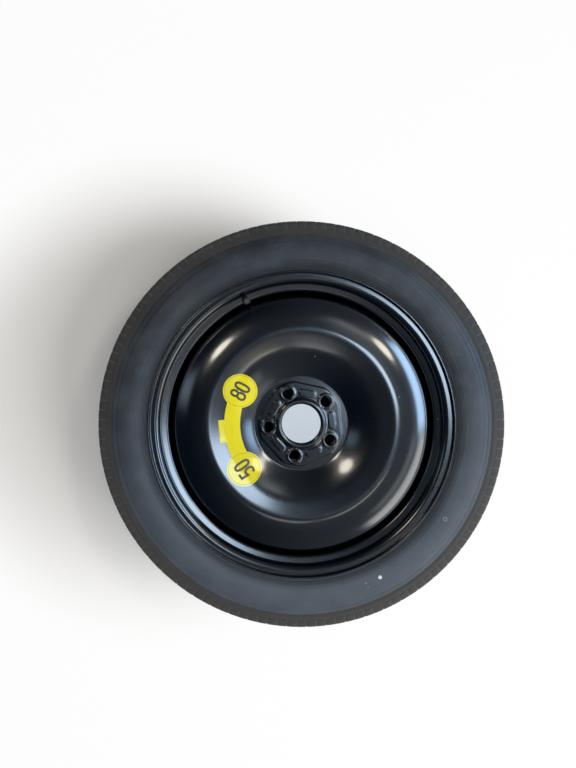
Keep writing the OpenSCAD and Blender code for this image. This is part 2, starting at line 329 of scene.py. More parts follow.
def placed(piece, matrix):
    """Moves a piece's mesh, given in millimetres, and leaves its object at the origin."""
    scaled = matrix.copy()
    scaled.translation = scaled.translation * MM
    piece.data.transform(scaled)
    piece.data.update()
    return piece


def joined(name, pieces, sharp=38.0):
    """One piece of several, as one mesh."""
    work = bmesh.new()
    for piece in pieces:
        work.from_mesh(piece.data)
        bpy.data.objects.remove(piece)
    mesh = bpy.data.meshes.new(name)
    work.to_mesh(mesh)
    work.free()
    return finished(name, mesh, sharp)


def applied(piece, change):
    """A new piece with the mesh that the modifier makes of this one, which is removed."""
    made = bpy.data.meshes.new_from_object(piece.evaluated_get(bpy.context.evaluated_depsgraph_get()))
    name, old = piece.name, piece.data
    piece.modifiers.remove(change)
    bpy.data.objects.remove(piece)
    bpy.data.meshes.remove(old)
    return finished(name, made)


def cut(piece, cutter):
    """Takes the cutter out of the piece, and removes it."""
    change = piece.modifiers.new("cut", "BOOLEAN")
    change.operation, change.object, change.solver = "DIFFERENCE", cutter, "EXACT"
    result = applied(piece, change)
    bpy.data.objects.remove(cutter)
    return result


def dressed(piece, body, slot, material, *nodes):
    """Gives a finished piece its material and body, and hides the CAD nodes that it stands for. Its slot is not used.
    """
    piece.data.materials.clear()
    piece.data.materials.append(material)
    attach(piece, body)
    if nodes:
        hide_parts(*nodes)
    return piece


# Node trees.
class Wiring:
    """Adds nodes to one tree. An input is set to a value, or linked where a socket is given."""

    def __init__(self, tree):
        self.tree = tree

    def add(self, kind, inputs=None, **settings):
        node = self.tree.nodes.new(kind)
        for key, value in settings.items():
            setattr(node, key, value)
        for key, value in (inputs or {}).items():
            if isinstance(value, bpy.types.NodeSocket):
                self.link(value, node.inputs[key])
            else:
                node.inputs[key].default_value = value
        return node

    def link(self, source, target):
        self.tree.links.new(source, target)

    def math(self, operation, a, b=0.0, clamp=False):
        return self.add("ShaderNodeMath", {0: a, 1: b}, operation=operation, use_clamp=clamp).outputs[0]

    def plus(self, a, b, clamp=False):
        return self.math("ADD", a, b, clamp)

    def minus(self, a, b, clamp=False):
        return self.math("SUBTRACT", a, b, clamp)

    def times(self, a, b, clamp=False):
        return self.math("MULTIPLY", a, b, clamp)

    def over(self, a, b, clamp=False):
        return self.math("DIVIDE", a, b, clamp)

    def vector(self, operation, a, b=None, scale=None):
        inputs = {key: value for key, value in ((0, a), (1, b), ("Scale", scale)) if value is not None}
        node = self.add("ShaderNodeVectorMath", inputs, operation=operation)
        return node.outputs[1 if operation in ("LENGTH", "DISTANCE", "DOT_PRODUCT") else 0]

    def xyz(self, x=0.0, y=0.0, z=0.0):
        return self.add("ShaderNodeCombineXYZ", {0: x, 1: y, 2: z}).outputs[0]

    def parts(self, vector):
        return self.add("ShaderNodeSeparateXYZ", {0: vector}).outputs

    def mix(self, factor, a, b):
        return self.add("ShaderNodeMix", {0: factor, 6: a, 7: b}, data_type="RGBA").outputs[2]

    def blend(self, factor, a, b):
        return self.add("ShaderNodeMix", {0: factor, 2: a, 3: b}, data_type="FLOAT").outputs[0]

    def ramp(self, value, low, high, to_low=0.0, to_high=1.0):
        return self.add("ShaderNodeMapRange", {0: value, 1: low, 2: high, 3: to_low, 4: to_high},
                        interpolation_type="SMOOTHSTEP").outputs[0]


GEOMETRY = "NodeSocketGeometry"
MATERIAL = "NodeSocketMaterial"
SOCKETS = {float: "NodeSocketFloat", int: "NodeSocketInt", tuple: "NodeSocketVector"}


def labelled(key):
    return key.replace("_", " ").title()


def new_tree(name, kind, output, inputs):
    """A node tree of one output. Each input has its default, or its kind of socket where it can have none."""
    tree = bpy.data.node_groups.new(name, kind)
    for key, given in inputs.items():
        kept = isinstance(given, str)
        socket = tree.interface.new_socket(name=labelled(key), in_out="INPUT",
                                           socket_type=given if kept else SOCKETS[type(given)])
        if not kept:
            socket.default_value = given
    tree.interface.new_socket(name="Result", in_out="OUTPUT", socket_type=output)
    return Wiring(tree), tree.nodes.new("NodeGroupInput").outputs, tree.nodes.new("NodeGroupOutput").inputs[0]


def geometry_tree(name, **inputs):
    """A geometry tree that takes a shape and a material besides its own inputs."""
    return new_tree(name, "GeometryNodeTree", GEOMETRY, {"shape": GEOMETRY, **inputs, "material": MATERIAL})


def run_tree(piece, w, values):
    """Gives the piece the mesh that a geometry tree makes of it."""
    change = piece.modifiers.new(w.tree.name, "NODES")
    change.node_group = w.tree
    for item in w.tree.interface.items_tree:
        if item.item_type == "SOCKET" and item.in_out == "INPUT" and item.name in values:
            change[item.identifier] = values[item.name]
    return applied(piece, change)


def ending(w, geometry, material, output):
    """Ends a geometry tree with real faces and their material."""
    real = w.add("GeometryNodeRealizeInstances", {0: geometry}).outputs[0]
    w.link(w.add("GeometryNodeSetMaterial", {"Geometry": real, "Material": material}).outputs[0], output)
    return w


def round_the_axis(w, geometry, count, first_turn):
    """Repeats a shape round the Z axis."""
    dots = w.add("GeometryNodePoints", {"Count": count}).outputs[0]
    index = w.add("GeometryNodeInputIndex").outputs[0]
    angle = w.plus(w.times(index, w.over(2 * math.pi, count)), first_turn)
    rotation = w.add("FunctionNodeEulerToRotation", {0: w.xyz(z=angle)}).outputs[0]
    return w.add("GeometryNodeInstanceOnPoints",
                 {"Points": dots, "Instance": geometry, "Rotation": rotation}).outputs[0]


def moved(w, geometry, **place):
    inputs = {"Geometry": geometry, **{labelled(key): value for key, value in place.items()}}
    return w.add("GeometryNodeSetPosition", inputs).outputs[0]


def repeat_tree():
    """Repeats the piece's own mesh round the Z axis: tread blocks and cap ribs."""
    w, given, output = geometry_tree("repeat_round_axis", count=8, first_turn=0.0)
    ring = round_the_axis(w, given["Shape"], given["Count"], given["First Turn"])
    return ending(w, ring, given["Material"], output)


def weld_tree():
    """Rippled weld beads along arcs at the end of the disc's skirt."""
    w, given, output = geometry_tree("weld_beads", count=8, first_turn=0.0, radius=0.2, height=0.0, sweep=0.3,
                                     bead=0.002, ripples=30.0)
    arc = w.add("GeometryNodeCurveArc", {"Resolution": 150, "Radius": given["Radius"],
                                         "Sweep Angle": given["Sweep"]}).outputs[0]
    arc = moved(w, arc, offset=w.xyz(z=given["Height"]))
    along = w.add("GeometryNodeSplineParameter").outputs[0]
    wave = w.math("SINE", w.times(along, w.times(given["Ripples"], 2 * math.pi)))
    uneven = w.add("ShaderNodeTexNoise", {"Scale": 160.0, "Detail": 1.0}).outputs[0]
    taper = w.times(w.ramp(along, 0.0, 0.05, 0.35, 1.0), w.ramp(along, 0.95, 1.0, 1.0, 0.35))
    swell = w.plus(w.plus(0.86, w.times(wave, 0.08)), w.times(uneven, 0.16))
    size = w.times(w.times(swell, taper), given["Bead"])
    ring = w.add("GeometryNodeCurvePrimitiveCircle", {"Resolution": 12, "Radius": 1.0}).outputs[0]
    bead = w.add("GeometryNodeSetCurveRadius", {"Curve": arc, "Radius": size}).outputs[0]
    swept = w.add("GeometryNodeCurveToMesh", {
        "Curve": bead, "Profile Curve": ring, "Scale": size, "Fill Caps": True}).outputs[0]
    beads = round_the_axis(w, swept, given["Count"], given["First Turn"])
    return ending(w, beads, given["Material"], output)


def nib_tree():
    """Short moulding nibs at uneven places round both shoulders."""
    w, given, output = geometry_tree("moulding_nibs", count=40, seed=3, radius=0.3, spread=0.004, height=0.05,
                                     slope=-0.2)
    dots = w.add("GeometryNodePoints", {"Count": given["Count"]}).outputs[0]
    index = w.add("GeometryNodeInputIndex").outputs[0]

    def random(low, high, shift):
        seed = w.plus(given["Seed"], float(shift))
        return w.add("FunctionNodeRandomValue", {2: low, 3: high, "ID": index, "Seed": seed},
                     data_type="FLOAT").outputs[1]

    angle = w.times(w.plus(index, random(-0.3, 0.3, 0)), w.over(2 * math.pi, given["Count"]))
    out = w.times(random(-1.0, 1.0, 1), given["Spread"])
    radius = w.plus(given["Radius"], out)
    height = w.plus(given["Height"], w.times(out, given["Slope"]))
    place = w.xyz(w.times(radius, w.math("COSINE", angle)), w.times(radius, w.math("SINE", angle)), height)
    nibs = w.add("GeometryNodeInstanceOnPoints", {
        "Points": moved(w, dots, position=place), "Instance": given["Shape"],
        "Scale": w.xyz(1.0, 1.0, random(0.3, 1.0, 2))}).outputs[0]
    return ending(w, nibs, given["Material"], output)


def thread_tree():
    """A screw thread on the valve's tube."""
    w, given, output = geometry_tree("valve_thread", radius=0.0036, pitch=0.0008, turns=8.0, ridge=0.0003,
                                     start=0.0)
    coil = w.add("GeometryNodeCurveSpiral", {
        "Resolution": 36, "Rotations": given["Turns"], "Start Radius": given["Radius"],
        "End Radius": given["Radius"], "Height": w.times(given["Turns"], given["Pitch"])}).outputs[0]
    coil = moved(w, coil, offset=w.xyz(z=given["Start"]))
    coil = w.add("GeometryNodeSetCurveNormal", {"Curve": coil}, mode="Z_UP").outputs[0]
    edge = w.add("GeometryNodeCurvePrimitiveCircle", {"Resolution": 4, "Radius": given["Ridge"]}).outputs[0]
    ridge = w.add("GeometryNodeCurveToMesh", {"Curve": coil, "Profile Curve": edge, "Fill Caps": True}).outputs[0]
    both = w.add("GeometryNodeJoinGeometry")
    w.link(ridge, both.inputs[0])
    w.link(given["Shape"], both.inputs[0])
    return ending(w, both.outputs[0], given["Material"], output)


# Shared shading.
def shading_groups():
    """Node groups that several finishes share: masks and values over the surface."""
    groups = {}

    def group(name, **inputs):
        w, given, output = new_tree(name, "ShaderNodeTree", SOCKETS[float], inputs)
        groups[name] = w.tree
        return w, given, output, w.add("ShaderNodeTexCoord").outputs

    def flat(w, vector):
        return w.vector("MULTIPLY", vector, (1, 1, 0))

    # 1 between two radii round the wheel's axis
    w, given, output, where = group("ring_mask", inner=0.1, outer=0.2, softness=0.002)
    radius = w.vector("LENGTH", flat(w, where["Object"]))
    rise = w.over(w.minus(radius, given["Inner"]), given["Softness"], clamp=True)
    fall = w.over(w.minus(given["Outer"], radius), given["Softness"], clamp=True)
    w.link(w.times(rise, fall), output)

    # Noise drawn out along the turning direction, with no seam
    w, given, output, where = group("turned_streaks", along=3.0, across=300.0, detail=3.0)
    level = flat(w, where["Object"])
    heading = w.vector("SCALE", w.vector("NORMALIZE", level), scale=given["Along"])
    across = w.times(w.plus(w.vector("LENGTH", level), w.parts(where["Object"])[2]), given["Across"])
    spot = w.vector("ADD", heading, w.xyz(z=across))
    w.link(w.add("ShaderNodeTexNoise", {"Vector": spot, "Scale": 1.0, "Detail": given["Detail"]}).outputs[0], output)

    # Fine grain of a moulded or sprayed surface
    w, given, output, where = group("fine_grain", scale=900.0, detail=2.0, roughness=0.5)
    w.link(w.add("ShaderNodeTexNoise", {
        "Vector": where["Object"], "Scale": given["Scale"], "Detail": given["Detail"],
        "Roughness": given["Roughness"]}).outputs[0], output)

    # Sparse round specks
    w, given, output, where = group("specks", scale=200.0, size=0.12, share=0.1)
    cells = w.add("ShaderNodeTexVoronoi", {"Vector": where["Object"], "Scale": given["Scale"]}).outputs
    shade = w.add("ShaderNodeSeparateColor", {0: cells["Color"]}).outputs
    chosen = w.math("LESS_THAN", shade[0], given["Share"])
    size = w.times(given["Size"], w.plus(0.4, shade[1]))
    near = w.over(w.minus(size, cells["Distance"]), w.times(size, 0.5), clamp=True)
    w.link(w.times(chosen, near), output)

    # A round dot or ring at one place on the street side
    w, given, output, where = group("round_mark", centre=(0.0, 0.0, 0.0), radius=0.003, hollow=0.0, softness=0.0004)
    distance = w.vector("LENGTH", flat(w, w.vector("SUBTRACT", where["Object"], given["Centre"])))
    inside = w.over(w.minus(given["Radius"], distance), given["Softness"], clamp=True)
    outside = w.over(w.minus(distance, given["Hollow"]), given["Softness"], clamp=True)
    front = w.math("GREATER_THAN", w.parts(where["Object"])[2], 0.0)
    w.link(w.times(w.times(inside, outside), front), output)

    # A soft-edged panel of the room, seen from the middle: its centre's turn and rise, its half sizes and softness
    w, given, output, where = group("soft_panel", turn=0.0, rise=0.5, half_width=0.2, half_height=0.1, softness=0.05)
    way = where["Generated"]
    for axis, angle in (("Z_AXIS", w.times(given["Turn"], -1.0)), ("Y_AXIS", given["Rise"])):
        way = w.add("ShaderNodeVectorRotate", {"Vector": way, "Angle": angle}, rotation_type=axis).outputs[0]
    ahead, across, above = w.parts(way)
    edges = w.math("GREATER_THAN", ahead, 0.1)
    for offset, half in ((across, given["Half Width"]), (above, given["Half Height"])):
        angle = w.math("ABSOLUTE", w.math("ARCTAN2", offset, ahead))
        edges = w.times(edges, w.ramp(w.over(w.minus(half, angle), given["Softness"]), -0.5, 0.5))
    w.link(edges, output)
    return groups


GROUPS = {}


def opened(name):
    """A new material with an empty tree. Returns the material, its wiring and its shader."""
    material = bpy.data.materials.new(name)
    material.use_nodes = True
    material.node_tree.nodes.clear()
    w = Wiring(material.node_tree)
    shader = w.add("ShaderNodeBsdfPrincipled")
    w.link(shader.outputs[0], w.add("ShaderNodeOutputMaterial").inputs[0])
    return material, w, shader


def shared(w, name, **values):
    """Places a shared group with its own values, and gives its output."""
    return w.add("ShaderNodeGroup", {labelled(key): value for key, value in values.items()},
                 node_tree=GROUPS[name]).outputs[0]


def fed(w, shader, **sockets):
    """Sets or links the shader's sockets by name."""
    for key, value in sockets.items():
        socket = shader.inputs[labelled(key).replace("Ior", "IOR")]
        if isinstance(value, bpy.types.NodeSocket):
            w.link(value, socket)
        else:
            socket.default_value = value


def bumped(w, shader, height, distance, strength=1.0):
    bump = w.add("ShaderNodeBump", {"Height": height, "Distance": distance, "Strength": strength})
    w.link(bump.outputs[0], shader.inputs["Normal"])


def solid(rgb):
    return (*rgb, 1.0)


def layered(w, base, *layers):
    """The base colour under layers of (mask, share, colour)."""
    for mask, share, tint in layers:
        base = w.mix(w.times(mask, share), base, solid(tint) if isinstance(tint, tuple) else tint)
    return base


def rubber_finish(settings):
    material, w, shader = opened("tyre_rubber")
    band = shared(w, "ring_mask", inner=0.3018, outer=0.5, softness=0.0012)
    # Painted shade: a darker band on the rubber next to the rim flange, where the tyre meets the rim
    bead = shared(w, "ring_mask", inner=0.2, outer=0.262, softness=0.009)
    streak = shared(w, "turned_streaks", along=5.0, across=420.0, detail=4.0)
    broad = shared(w, "turned_streaks", along=6.0, across=34.0, detail=3.0)
    cloud = shared(w, "fine_grain", scale=16.0, detail=5.0, roughness=0.62)
    grain = shared(w, "fine_grain", scale=1500.0, detail=3.0, roughness=0.6)
    crumbs = shared(w, "specks", scale=260.0, size=0.16, share=0.05)
    bloom = w.ramp(w.plus(w.times(broad, 0.65), w.times(cloud, 0.5)), 0.42, 0.78)
    pale = w.mix(band, (0.050, 0.058, 0.072, 1), (0.045, 0.043, 0.040, 1))
    # Painted light: the rubber made paler and bluer towards -Y, the side that stands more in the light
    east, north, _ = w.parts(w.add("ShaderNodeTexCoord").outputs["Object"])
    film = w.math("MAXIMUM", w.plus(w.ramp(north, 0.2, -0.3), w.times(w.minus(cloud, 0.5), 0.9)), 0.0)
    lit_side_tint = w.mix(band, (0.085, 0.105, 0.135, 1), (0.052, 0.049, 0.048, 1))
    # A paler tone at the ends of the shoulder's cross slots and cuts, two to each pitch of the tread
    turn = w.math("ARCTAN2", north, east)
    slots = w.math("COSINE", w.minus(w.times(turn, 2 * settings.pitches), math.pi))
    ends = w.times(w.ramp(slots, 0.84, 0.98), shared(w, "ring_mask", inner=0.3125, outer=0.3245, softness=0.0016))
    base = layered(
        w, w.mix(band, solid(settings.sidewall), solid(settings.shoulder)),
        (bloom, 0.55, pale), (film, 0.65, lit_side_tint), (bead, 0.75, (0.008, 0.009, 0.011)),
        (ends, 0.45, (0.11, 0.106, 0.098)), (w.ramp(streak, 0.58, 0.72), 0.25, (0.085, 0.088, 0.094)),
        (crumbs, 0.5, (0.24, 0.24, 0.23)))
    # The fitter's dot and ring, and two rubbed spots: centre, radius, hollow, softness, share and colour
    mark, rubbed = tuple(settings.paint_mark), (0.36, 0.29, 0.10)
    for x, y, radius, hollow, softness, share, tint in (
            (0.1244, -0.2416, 0.0031, 0.0, 0.0004, 1.0, mark), (0.2275, -0.1496, 0.0034, 0.0022, 0.0004, 0.35, mark),
            (0.1022, -0.2511, 0.0013, 0.0, 0.0005, 1.0, rubbed), (0.1054, -0.2574, 0.0011, 0.0, 0.0005, 1.0, rubbed)):
        spot = shared(w, "round_mark", centre=(x, y, 0), radius=radius, hollow=hollow, softness=softness)
        base = layered(w, base, (spot, share, tint))
    fed(w, shader, base_color=base, roughness=w.plus(w.blend(band, 0.46, 0.62), w.times(bloom, 0.12)),
        ior=1.5, specular_ior_level=0.36, sheen_weight=0.12, sheen_roughness=0.45)
    bumped(w, shader, w.plus(w.times(grain, 0.35), w.times(streak, 0.9)), 0.00016, 0.6)
    return material


def paint_finish(settings, name="wheel_paint", rough=0.20, peel=0.25):
    material, w, shader = opened(name)
    haze = shared(w, "fine_grain", scale=9.0, detail=4.0, roughness=0.55)
    streak = shared(w, "turned_streaks", along=4.0, across=160.0, detail=3.0)
    orange_peel = shared(w, "fine_grain", scale=420.0, detail=2.0, roughness=0.5)
    fine = shared(w, "specks", scale=430.0, size=0.13, share=0.035)
    large = shared(w, "specks", scale=90.0, size=0.075, share=0.06)
    dust = w.math("MAXIMUM", w.times(fine, 0.45), w.times(large, 0.8))
    base = layered(w, solid(settings.paint), (w.ramp(haze, 0.4, 0.75), 0.5, (0.0014, 0.0018, 0.0028)),
                   (dust, 1.0, tuple(settings.dust)))
    for value, middle, share in ((haze, 0.5, 0.16), (streak, 0.5, 0.05), (dust, 0.0, 0.4)):
        rough = w.plus(rough, w.times(w.minus(value, middle), share))
    fed(w, shader, base_color=base, roughness=rough, ior=1.52, specular_ior_level=0.4, coat_weight=1.0,
        coat_roughness=0.10)
    bumped(w, shader, orange_peel, 0.00006, peel)
    return material


def plain_finish(name, rgb, worn, rough, scale, height, metallic=0.0):
    """A small part's finish: its colour goes over to a worn one in patches, with a fine grain."""
    material, w, shader = opened(name)
    patch = shared(w, "fine_grain", scale=scale * 0.12, detail=4.0, roughness=0.6)
    grain = shared(w, "fine_grain", scale=scale, detail=3.0, roughness=0.55)
    fed(w, shader, base_color=w.mix(w.ramp(patch, 0.35, 0.75), solid(rgb), solid(worn)), metallic=metallic,
        roughness=w.ramp(patch, 0.2, 0.8, rough - 0.07, rough + 0.09))
    bumped(w, shader, grain, height, 0.5)
    return material


def film_finish(settings):
    """The label's yellow film, with a thin printed ring inside each round end."""
    material, w, shader = opened("label_film")
    patch = shared(w, "fine_grain", scale=60.0, detail=3.0, roughness=0.5)
    ripple = shared(w, "fine_grain", scale=45.0, detail=2.0, roughness=0.5)
    base = layered(w, solid(settings.film), (w.ramp(patch, 0.3, 0.8), 0.5, (0.76, 0.70, 0.006)))
    for radius, angle in (LABEL_HIGH, LABEL_LOW):
        ring = shared(w, "round_mark", centre=(*polar(radius * MM, angle), 0), radius=(LABEL_END_R - 1.9) * MM,
                      hollow=(LABEL_END_R - 2.75) * MM, softness=0.00015)
        base = layered(w, base, (ring, 0.75, (0.20, 0.16, 0.01)))
    fed(w, shader, base_color=base, roughness=w.ramp(patch, 0.2, 0.8, 0.27, 0.36), specular_ior_level=0.1,
        coat_weight=0.6, coat_roughness=0.1)
    bumped(w, shader, ripple, 0.0004, 0.3)
    return material


# Operators.
def with_ribs(line, ribs):
    """Adds low rounded ribs to a line whose radius only grows. Each rib is (radius, half width, height)."""
    marks = [r + side * half for r, half, _ in ribs for side in (-1.0, -0.45, 0.0, 0.45, 1.0)]
    radii = np.unique(np.concatenate([line[:, 0], marks]))
    heights = np.interp(radii, line[:, 0], line[:, 1])
    for r, half, rise in ribs:
        heights += rise * (1 - smooth(0.35, 1.0, np.abs(radii - r) / half))
    return np.stack([radii, heights], axis=1)


def walked(line):
    """The way along a line up to each of its points."""
    return np.concatenate([[0], np.cumsum(np.linalg.norm(np.diff(line, axis=0), axis=1))])


def tyre_lines():
    """The tyre's outer line on one side, in two parts: up to the shoulder, and from there to the middle."""
    line = rounded(TYRE_OUTER_HALF + mirrored(TYRE_OUTER_HALF)[1:])
    line = np.vstack([line[line[:, 1] > 0.01], [line[:, 0].max(), 0.0]])
    line = divided(line, lambda p: 3.0)
    split = int(np.argmax(line[:, 0] > SLOT_OUT_R))
    start = int(np.argmax((line[:, 0] > 247.6) & (line[:, 1] > 58.0)))
    side = with_ribs(line[start:split], [
        (250.6, 0.9, 0.7), (254.2, 0.35, 0.25), (262.0, 0.3, 0.12), (290.5, 0.3, 0.15), (297.4, 0.45, 0.35),
        (299.3, 0.3, 0.2), (305.4, 0.4, 0.35), (307.4, 0.4, 0.35)])
    return np.vstack([line[:start], side]), line[split:]


def slot_floor(crown):
    """The bottom of the cross slots, from the tread's side to the shoulder, below each point of the outer line."""
    outer = crown[crown[:, 1] > 0.5]
    shallow = beside(outer, -SLOT_SHOULDER_DEPTH)[::-1]
    fade = smooth(SLOT_OUT_R, SLOT_OUT_R + 3.5, shallow[:, 0])[:, None]
    shallow = outer[::-1] * (1 - fade) + shallow * fade
    over = shallow[shallow[:, 1] > 45.5]
    return np.vstack([[(TREAD_FLOOR_R, SLOT_IN_Z), (TREAD_FLOOR_R, 42.0)], over])


class SPARE_OT_tyre(Operator):
    """Builds the tyre: carcass, grooves, shoulder blocks, rib blocks and moulding nibs"""
    bl_idname = "spare_wheel.tyre"
    bl_label = "Tyre"

    def execute(self, context):
        settings = context.scene.spare_tyre
        rubber = rubber_finish(settings)
        side, crown = tyre_lines()
        half_groove = settings.groove_width / MM / 2
        high, low = GROOVE_Z + half_groove, GROOVE_Z - half_groove

        # Under the blocks the carcass follows the floor of the slots, and its ribs stand between the grooves.
        def crown_r(z):
            return float(np.interp(-abs(z), -crown[:, 1], crown[:, 0]))

        floor = slot_floor(crown)
        base = [tuple(p) for p in floor[::-1]] + [
            (crown_r(SLOT_IN_Z), SLOT_IN_Z), (crown_r(high + 0.5), high + 0.5), (crown_r(high) - 0.5, high),
            (TREAD_FLOOR_R, high - 0.8), (TREAD_FLOOR_R, low + 0.8), (crown_r(17) - RIB_DEPTH, low),
            (crown_r(3) - RIB_DEPTH, half_groove), (TREAD_FLOOR_R, half_groove - 0.8)]
        half = np.vstack([side, base])
        outer = np.vstack([half, half[::-1] * (1, -1)])
        inner = rounded(TYRE_INNER_HALF + mirrored(TYRE_INNER_HALF), 0.05)
        loop = np.vstack([outer, divided(inner, lambda p: 8.0)[::-1]])
        carcass = new_piece("tyre_carcass", *revolve(loop, 384))

        blocks = self.shoulder_blocks(settings, crown, rubber) + self.rib_blocks(settings, crown_r, rubber)
        tread = joined("tyre_tread", blocks)
        nibs = self.nibs(rubber)
        dressed(carcass, "wheel", "tyre_rubber", rubber, "tyre")
        for piece in (tread, nibs):
            dressed(piece, "wheel", "tyre_rubber", rubber)
        return {"FINISHED"}

    def block(self, name, top, floor, columns, lift, twist):
        """One closed block. Top and floor are lines (radius, height); each column is an angle, cut down by its lift."""
        rows = len(top)
        points, faces = [], []
        for line, is_top in ((top, True), (floor, False)):
            for k, angle in enumerate(columns):
                for j in range(rows):
                    r, z = line[j]
                    if is_top:
                        share = lift[k] * (0.0 if j == rows - 1 else 1.0)
                        r, z = r + (floor[j][0] - r) * share, z + (floor[j][1] - z) * share
                    turn = angle + twist * (z - top[0][1])
                    points.append((r * math.cos(turn), r * math.sin(turn), z))
        count = len(columns)
        low = count * rows

        def at(k, j, under):
            return (low if under else 0) + k * rows + j

        for k in range(count - 1):
            for j in range(rows - 1):
                faces.append([at(k, j, 0), at(k + 1, j, 0), at(k + 1, j + 1, 0), at(k, j + 1, 0)])
                faces.append([at(k, j, 1), at(k, j + 1, 1), at(k + 1, j + 1, 1), at(k + 1, j, 1)])
            for j in (0, rows - 1):
                faces.append([at(k, j, 0), at(k, j, 1), at(k + 1, j, 1), at(k + 1, j, 0)])
        for k in (0, count - 1):
            for j in range(rows - 1):
                faces.append([at(k, j, 0), at(k, j + 1, 0), at(k, j + 1, 1), at(k, j, 1)])
        return new_piece(name, points, faces)

    def rings(self, block, twist, pitch, rubber):
        """A ring of blocks on each side, a quarter of a pitch to and fro. The block is its name, lines and cuts."""
        name, top, floor, columns, lift = block
        made = []
        for sign in (1, -1):
            piece = self.block(name, top * (1, sign), floor * (1, sign), columns, lift, twist * sign)
            made.append(run_tree(piece, REPEATER, {
                "Count": round(2 * math.pi / pitch), "First Turn": sign * pitch / 4, "Material": rubber}))
        return made

    def shoulder_blocks(self, settings, crown, rubber):
        pitch = 2 * math.pi / settings.pitches
        slot, sipe = settings.slot_width / MM / TREAD_R, settings.sipe_width / MM / TREAD_R
        ease = 0.45 / TREAD_R
        first, middle, last = slot / 2, pitch / 2, pitch - slot / 2
        near, far = middle - sipe / 2, middle + sipe / 2
        columns = [first, first + ease, (first + middle) / 2, near - ease / 2, near, near + ease / 3, far - ease / 3,
                   far, far + ease / 2, (middle + last) / 2, last - ease, last]
        lift = [0.1, 0, 0, 0, 0.06, 0.62, 0.62, 0.06, 0, 0, 0, 0.1]
        inner = (np.interp(-SLOT_IN_Z, -crown[:, 1], crown[:, 0]), SLOT_IN_Z)
        top = np.vstack([[inner], crown[crown[:, 1] > SLOT_IN_Z][::-1]])
        bottom = divided(beside(slot_floor(crown), 0.25), lambda p: 0.6)
        walk, under = walked(top), walked(bottom)
        place = walk / walk[-1] * under[-1]
        floor = np.stack([np.interp(place, under, bottom[:, axis]) for axis in (0, 1)], axis=1)
        return self.rings(("shoulder_block", top, floor, columns, lift), 0.0, pitch, rubber)

    def rib_blocks(self, settings, crown_r, rubber):
        pitch = 2 * math.pi / settings.pitches
        gap, ease = settings.sipe_width / MM / TREAD_R * 0.6, 0.4 / TREAD_R
        columns = [gap, gap + ease, pitch / 2, pitch - gap - ease, pitch - gap]
        low = settings.groove_width / MM / 2
        high = GROOVE_Z - low
        heights = [low, low + 0.45, low + 5, high - 5, high - 0.45, high]
        top = np.array([(crown_r(z) - drop, z) for z, drop in zip(heights, (0.45, 0, 0, 0, 0, 0.45))])
        floor = np.array([(crown_r(z) - 3.0, z) for z in heights])
        return self.rings(("rib_block", top, floor, columns, [0.15, 0, 0, 0, 0.15]), 0.00135, pitch, rubber)

    def nibs(self, rubber):
        made = []
        for sign in (1, -1):
            nib = new_piece("nib", *lathe([(0, -0.8), (0.42, -0.8), (0.34, 0.5), (0.25, 1.4), (0, 1.5)], 8))
            if sign < 0:
                placed(nib, Matrix.Rotation(math.pi, 4, "X"))
            made.append(run_tree(nib, nib_tree(), {
                "Count": 44, "Seed": 5 + sign, "Radius": 0.3132, "Spread": 0.0006, "Height": sign * 0.0553,
                "Slope": -0.18 * sign, "Material": rubber}))
        return joined("moulding_nibs", made)


class SPARE_OT_rim(Operator):
    """Builds the rim: a rolled sheet hoop with a pressed seat for the valve"""
    bl_idname = "spare_wheel.rim"
    bl_label = "Rim"

    def execute(self, context):
        front = divided(rounded(RIM_PATH, 0.02), lambda p: 7.0)
        back = beside(front, -RIM_T)
        rim = new_piece("rim", *revolve(sheet_loop(front, back, 0.8), 400))
        pocket = lathe([(0, -14), (7.3, -14), (7.3, -RIM_T), (5.75, -RIM_T), (5.75, 6), (0, 6)], 64)
        cutter = placed(new_piece("pocket", *pocket), valve_frame())
        rim = cut(rim, cutter)
        wall = lathe([(7.3, -RIM_T), (7.3, -7.6), (7.7, -8), (8.6, -8), (9, -7.6), (9, -1.2), (7.9, -0.6), (7.3, -0.9),
                      (7.3, -RIM_T)], 64)
        seat = placed(new_piece("valve_seat", *wall), valve_frame())
        dressed(joined("rim_hoop", [rim, seat]), "wheel", "wheel_paint", FINISHES["paint"], "rim")
        return {"FINISHED"}


def smooth_max(a, b, soft):
    share = np.clip(0.5 + 0.5 * (a - b) / soft, 0, 1)
    return b + (a - b) * share + soft * share * (1 - share)


def hub_relief(x, y, inset, relief, rings):
    """Height that the hub pad, its rings and its long humps add to the disc at each point."""
    r = np.hypot(x, y)
    outside = r - (PAD_CORNER_R - inset)
    for i in range(BOLT_COUNT):
        c, s = polar(1, BOLT_ANGLE + (i + 0.5) * 360 / BOLT_COUNT)
        outside = smooth_max(outside, x * c + y * s - (PAD_FLAT_R - inset), 1.5)
    height = (PAD_Z - RING_Z) * smooth(-0.4, 2.6, -outside) * smooth(40.0, 44.0, r)
    for i in range(BOLT_COUNT):
        c, s = polar(1, BOLT_ANGLE + i * 360 / BOLT_COUNT)
        if rings:
            away = np.hypot(x - BOLT_CIRCLE_R * c, y - BOLT_CIRCLE_R * s)
            height += relief * (1 - smooth(11.8, 13.7, away))
        c, s = polar(1, BOLT_ANGLE + (i + 0.5) * 360 / BOLT_COUNT)
        along = np.maximum(np.abs(y * c - x * s) - 8, 0)
        away = np.hypot(x * c + y * s - 50, along)
        height += relief * (1 - smooth(4.7 - inset, 6.6 - inset, away))
    return height


